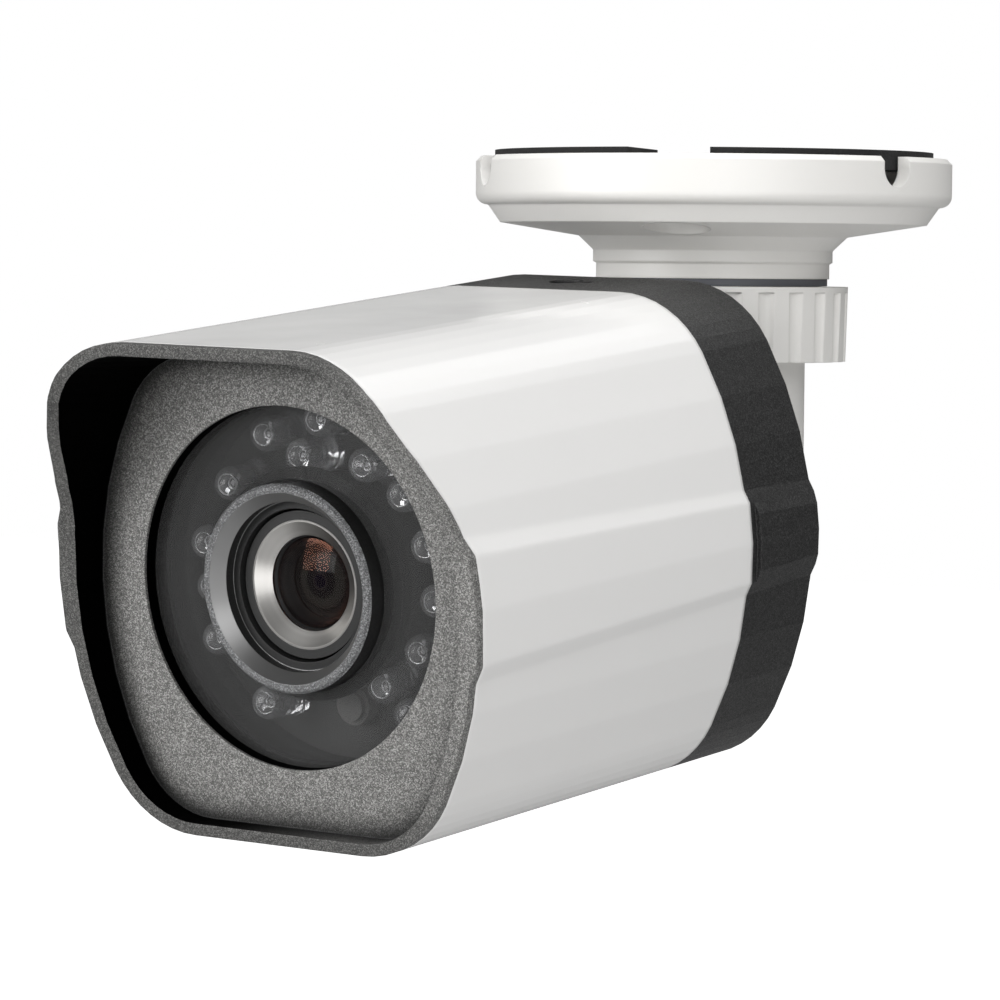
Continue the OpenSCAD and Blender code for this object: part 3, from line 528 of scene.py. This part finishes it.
def dress_window():
    """Finishes of the lens, the lamps and what stands round them."""
    dress(tube_black(), "lens_tube")
    dress(turned_metal("anodised_black", (0.016, 0.016, 0.016), 0.42, 0.35, 0.02), "lens_barrel")
    dress(
        turned_metal("turned_aluminium", (0.46, 0.45, 0.435), 0.28, 0.18, 0.006, Metallic=1.0),
        "lens_front_ring",
    )
    dress(smoked_window(), "window")
    dress(lamp_clear(), "ir_lamps")
    dress(coated_glass(), "front_lens", "rear_lens", "cut_filter")
    dress(
        moulded("matte_black", (0.014, 0.014, 0.014), 0.6, grain_mm=0.3, depth_mm=0.001),
        "lamp_housing", "lens_holder", "filter_slide", "processor",
    )
    dress(moulded("frosted_cell", (0.16, 0.16, 0.155), 0.5, mottle=0.2), "light_sensor", "image_sensor")
    dress(circuit_board("lamp_board_black", (0.05, 0.05, 0.05)), "lamp_board")


def dress_inside():
    """Finishes of what is closed in behind the lamps."""
    dress(circuit_board("solder_mask_green", (0.02, 0.1, 0.04)), "sensor_board", "main_board")
    dress(brushed("cast_aluminium", (0.66, 0.67, 0.68), 0.4), "chassis_plate")
    dress(brushed("plain_brass", (0.6, 0.45, 0.2), 0.3), "chassis_spacers", "board_spacers")
    dress(brushed("wound_copper", (0.6, 0.3, 0.14), 0.35), "filter_coil")


# ---------------------------------------------------------------- lamp insides
# What stands inside a lamp, in millimetres; Z runs along its axis from the dome's tip.
CUP_R = 1.15
CUP_DEPTH = 1.9
FLOOR_SHARE = 0.45
FLOOR_DEPTH = 2.7
WIRE_R = 0.09
# size and centre of the lead post under the cup, of the second post, and of the die
LAMP_BLOCKS = [
    ((0.55, 0.4, 4.2), (-0.7, 0, -5.2)),
    ((0.4, 0.4, 4.8), (0.8, 0, -4.8)),
    ((0.4, 0.4, 0.2), (0, 0, -2.75)),
]


def loose_parts(mesh):
    """Vertices of each loose solid of a mesh."""
    left = set(mesh.verts)
    while left:
        part = []
        stack = [left.pop()]
        while stack:
            vert = stack.pop()
            part.append(vert)
            for edge in vert.link_edges:
                other = edge.other_vert(vert)
                if other in left:
                    left.remove(other)
                    stack.append(other)
        yield part


def dome_tip(part):
    """Foremost point on a lamp's own axis, in the barrel frame."""
    spots = [TO_BARREL @ vert.co for vert in part]
    across = [spot.x for spot in spots]
    up = [spot.z for spot in spots]
    front = min(spot.y for spot in spots)
    return Vector(((min(across) + max(across)) / 2, front, (min(up) + max(up)) / 2))


def lamp_places():
    """Tip of each lamp's dome, found from the loose solids of the lamps' CAD node."""
    mesh = bmesh.new()
    mesh.from_mesh(nodes["ir_lamps"].data)
    bmesh.ops.remove_doubles(mesh, verts=mesh.verts, dist=1e-6)
    tips = [dome_tip(part) for part in loose_parts(mesh)]
    mesh.free()
    return sorted(tips, key=lambda tip: (round(tip.z, 5), round(tip.x, 5)))


def moved(tree, geometry, offset):
    """Geometry socket moved by an offset in millimetres."""
    move = tree.nodes.new("GeometryNodeTransform")
    tree.links.new(geometry, move.inputs["Geometry"])
    move.inputs["Translation"].default_value = [part * MM for part in offset]
    return move.outputs["Geometry"]


def circle(tree, radius, steps):
    """Round curve with its radius from a socket."""
    node = add(tree, "GeometryNodeCurvePrimitiveCircle", Resolution=steps)
    tree.links.new(radius, node.inputs["Radius"])
    return node.outputs["Curve"]


def ring(tree, radius, thickness, depth, steps):
    """Round wire ring across the lamp's axis; radius and thickness are sockets."""
    tube = tree.nodes.new("GeometryNodeCurveToMesh")
    tree.links.new(circle(tree, radius, steps), tube.inputs["Curve"])
    tree.links.new(circle(tree, thickness, 6), tube.inputs["Profile Curve"])
    return moved(tree, tube.outputs["Mesh"], (0, 0, -depth))


def block(tree, size, centre):
    """Box of a size round a centre, in millimetres."""
    cube = tree.nodes.new("GeometryNodeMeshCube")
    cube.inputs["Size"].default_value = [part * MM for part in size]
    return moved(tree, cube.outputs["Mesh"], centre)


def lamp_insides_tree():
    """Reflector cup, lead posts and die of one lamp, on every point."""
    tree, given, out = node_group(
        "GeometryNodeTree", "lamp_insides",
        [("Geometry", "Geometry", None), ("Cup Radius", "Float", CUP_R * MM),
         ("Wire", "Float", WIRE_R * MM), ("Seed", "Int", 7), ("Finish", "Material", None)],
        [("Geometry", "Geometry")],
    )
    parts = tree.nodes.new("GeometryNodeJoinGeometry")
    rim = given.outputs["Cup Radius"]
    wire = given.outputs["Wire"]
    shapes = [
        ring(tree, rim, wire, CUP_DEPTH, 28),
        ring(tree, maths(tree, "MULTIPLY", rim, FLOOR_SHARE), wire, FLOOR_DEPTH, 16),
    ]
    shapes += [block(tree, size, centre) for size, centre in LAMP_BLOCKS]
    for shape in shapes:
        tree.links.new(shape, parts.inputs["Geometry"])
    # each lamp is turned about its axis by chance
    turn = add(tree, "FunctionNodeRandomValue", data_type="FLOAT")
    turn.inputs[2].default_value = 0
    turn.inputs[3].default_value = math.tau
    tree.links.new(given.outputs["Seed"], turn.inputs["Seed"])
    spin = tree.nodes.new("ShaderNodeCombineXYZ")
    tree.links.new(turn.outputs[1], spin.inputs["Z"])
    place = tree.nodes.new("GeometryNodeInstanceOnPoints")
    tree.links.new(given.outputs["Geometry"], place.inputs["Points"])
    tree.links.new(parts.outputs["Geometry"], place.inputs["Instance"])
    tree.links.new(spin.outputs["Vector"], place.inputs["Rotation"])
    solid = tree.nodes.new("GeometryNodeRealizeInstances")
    tree.links.new(place.outputs["Instances"], solid.inputs["Geometry"])
    paint = tree.nodes.new("GeometryNodeSetMaterial")
    tree.links.new(solid.outputs["Geometry"], paint.inputs["Geometry"])
    tree.links.new(given.outputs["Finish"], paint.inputs["Material"])
    tree.links.new(paint.outputs["Geometry"], out.inputs["Geometry"])
    return tree


def baked(name, points, tree, values, to_part):
    """Piece made by a geometry tree on points, as a plain mesh carried into the part frame."""
    mesh = bpy.data.meshes.new(name + "_points")
    mesh.from_pydata(points, [], [])
    source = bpy.data.objects.new(name + "_points", mesh)
    bpy.context.scene.collection.objects.link(source)
    modifier = source.modifiers.new("make", "NODES")
    modifier.node_group = tree
    sockets = {s.name: s.identifier for s in tree.interface.items_tree if s.in_out == "INPUT"}
    for key, value in values.items():
        modifier[sockets[key]] = value
    evaluated = source.evaluated_get(bpy.context.evaluated_depsgraph_get())
    made = bpy.data.meshes.new_from_object(evaluated)
    source.modifiers.remove(modifier)
    bpy.data.objects.remove(source)
    made.transform(to_part)
    made.name = name
    piece = bpy.data.objects.new(name, made)
    bpy.context.scene.collection.objects.link(piece)
    return piece


def make_lamp_insides():
    """Cup, posts and die in each of the infrared lamps."""
    # lamps look out along -Y of the barrel: turn the tree's +Z to it
    to_axis = Matrix.Rotation(math.radians(90), 4, "X")
    points = [to_axis.inverted() @ tip for tip in lamp_places()]
    piece = baked(
        "lamp_insides", points, lamp_insides_tree(),
        {"Finish": brushed("silvered_cup", (1.0, 1.0, 1.0), 0.25), "Seed": 11},
        BARREL @ to_axis,
    )
    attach(piece, "camera")


# ---------------------------------------------------------------- front glass
# dome of the lens's front element, whose rim lies further back than its apex
GLASS_RIM_R = 6.6 * MM
GLASS_RIM_Y = 6.35 * MM
GLASS_APEX_Y = 4.9 * MM
GLASS_RINGS = 24
GLASS_SIDES = 96
GLASS_ALPHA = 0.16
RIM_ALPHA = 0.5


def clear_glass():
    """Coated front element: it mirrors the lights in a warm tint, and the rings behind it show."""
    material, tree, shader = finish(
        "front_element", (0.004, 0.004, 0.005), Roughness=0.015, IOR=1.6, Alpha=0.3,
        Specular_IOR_Level=0.45, Specular_Tint=(1.0, 0.42, 0.27, 1),
    )
    place = place_group(tree, BARREL_PLACE)
    rim = ramp(tree, place.outputs["Radius"], 5.4, 6.5)
    cover = maths(tree, "ADD", GLASS_ALPHA, maths(tree, "MULTIPLY", rim, RIM_ALPHA))
    tree.links.new(cover, shader.inputs["Alpha"])
    return material


def dome_loops(mesh):
    """Circles of vertices down the dome, from next to its apex to its rim."""
    sagitta = GLASS_RIM_Y - GLASS_APEX_Y
    ball = (GLASS_RIM_R**2 + sagitta**2) / (2 * sagitta)
    half = math.asin(GLASS_RIM_R / ball)
    turns = [math.tau * k / GLASS_SIDES for k in range(GLASS_SIDES)]
    loops = []
    for i in range(1, GLASS_RINGS + 1):
        slope = half * i / GLASS_RINGS
        out = ball * math.sin(slope)
        back = GLASS_APEX_Y + ball * (1 - math.cos(slope))
        loops.append([mesh.verts.new((out * math.cos(t), back, out * math.sin(t))) for t in turns])
    return loops


def make_front_glass():
    """Domed front element of the lens, seated in its retaining ring, with a flat back."""
    mesh = bmesh.new()
    apex = mesh.verts.new((0, GLASS_APEX_Y, 0))
    loops = dome_loops(mesh)
    for k in range(GLASS_SIDES):
        mesh.faces.new((apex, loops[0][k], loops[0][(k + 1) % GLASS_SIDES]))
    for inner, outer in zip(loops, loops[1:]):
        for k in range(GLASS_SIDES):
            j = (k + 1) % GLASS_SIDES
            mesh.faces.new((inner[k], outer[k], outer[j], inner[j]))
    mesh.faces.new(loops[-1])
    bmesh.ops.recalc_face_normals(mesh, faces=mesh.faces)
    for face in mesh.faces:
        face.smooth = len(face.verts) < GLASS_SIDES
    mesh.transform(BARREL)
    data = bpy.data.meshes.new("front_glass")
    mesh.to_mesh(data)
    mesh.free()
    data.materials.append(clear_glass())
    glass = bpy.data.objects.new("front_glass", data)
    bpy.context.scene.collection.objects.link(glass)
    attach(glass, "camera")


# ---------------------------------------------------------------- camera and studio
CAMERA_AT = Vector((416.96, -639.99, -16.53)) * MM
CAMERA_TURN = (87.146, -0.521, 35.6177)
SENSOR_MM = 36
LENS_MM = 172.8
CLIP_END = 30
ROOM_GLOW = 0.15
SKY_GLOW = 0.06
FLOOR_HALF = 12
FLOOR_Z = -1.0
SOFTBOX_AIM = (0, -0.08, -0.06)


def make_camera():
    """Camera level with the bracket, in front of the part and to its right."""
    data = bpy.data.cameras.new("studio_camera")
    data.sensor_width = SENSOR_MM
    data.lens = LENS_MM
    data.clip_end = CLIP_END
    camera = bpy.data.objects.new("studio_camera", data)
    camera.location = CAMERA_AT
    camera.rotation_euler = [math.radians(angle) for angle in CAMERA_TURN]
    bpy.context.scene.collection.objects.link(camera)
    bpy.context.scene.camera = camera


def make_world():
    """White backdrop, with a softer light for the object itself."""
    world = bpy.data.worlds.new("studio")
    world.use_nodes = True
    tree = world.node_tree
    background = tree.nodes["Background"]
    seen = tree.nodes.new("ShaderNodeLightPath")
    direction = tree.nodes.new("ShaderNodeTexCoord")
    height = tree.nodes.new("ShaderNodeSeparateXYZ")
    tree.links.new(direction.outputs["Generated"], height.inputs["Vector"])
    soft = ramp(tree, height.outputs["Z"], -0.8, 0.8)
    glow = maths(tree, "ADD", ROOM_GLOW, maths(tree, "MULTIPLY", soft, SKY_GLOW))
    strength = tree.nodes.new("ShaderNodeMix")
    tree.links.new(seen.outputs["Is Camera Ray"], strength.inputs[0])
    tree.links.new(glow, strength.inputs[2])
    strength.inputs[3].default_value = 1.0
    tree.links.new(strength.outputs[0], background.inputs["Strength"])
    background.inputs["Color"].default_value = (1, 1, 1, 1)
    bpy.context.scene.world = world
    bpy.context.scene.view_settings.view_transform = "Standard"


def make_floor():
    """Plain pale floor well below the bracket, which glows white to the camera alone."""
    turns = ((-1, -1), (1, -1), (1, 1), (-1, 1))
    corners = [(x * FLOOR_HALF, y * FLOOR_HALF, FLOOR_Z) for x, y in turns]
    mesh = bpy.data.meshes.new("floor")
    mesh.from_pydata(corners, [], [(0, 1, 2, 3)])
    floor = bpy.data.objects.new("floor", mesh)
    bpy.context.scene.collection.objects.link(floor)
    material, tree, shader = finish("pale_floor", (0.85, 0.85, 0.85), Roughness=0.9)
    seen = tree.nodes.new("ShaderNodeLightPath")
    shader.inputs["Emission Color"].default_value = (1, 1, 1, 1)
    tree.links.new(seen.outputs["Is Camera Ray"], shader.inputs["Emission Strength"])
    mesh.materials.append(material)


def softbox(name, where, side, power):
    """Square softbox that looks at the middle of the part; side in metres, power in watts."""
    data = bpy.data.lights.new(name, "AREA")
    data.shape = "RECTANGLE"
    data.size = side
    data.size_y = side
    data.energy = power
    lamp = bpy.data.objects.new(name, data)
    lamp.location = where
    lamp.rotation_euler = (Vector(SOFTBOX_AIM) - Vector(where)).to_track_quat("-Z", "Y").to_euler()
    bpy.context.scene.collection.objects.link(lamp)


def make_lights():
    """Five softboxes: over, right of, in front of, low beside and behind the part."""
    softbox("top_softbox", (0.2, -0.1, 1.2), 1.2, 11.6)
    softbox("right_softbox", (0.97, -0.72, 0.58), 0.8, 7)
    softbox("front_softbox", (-0.55, -1.1, 0.25), 0.7, 10)
    softbox("low_softbox", (0.75, -0.95, -0.35), 0.7, 4.6)
    softbox("back_softbox", (0.35, 0.9, 1.2), 0.9, 3)


make_camera()
make_world()
make_floor()
make_lights()
dress_outside()
dress_window()
dress_inside()
make_lamp_insides()
make_front_glass()
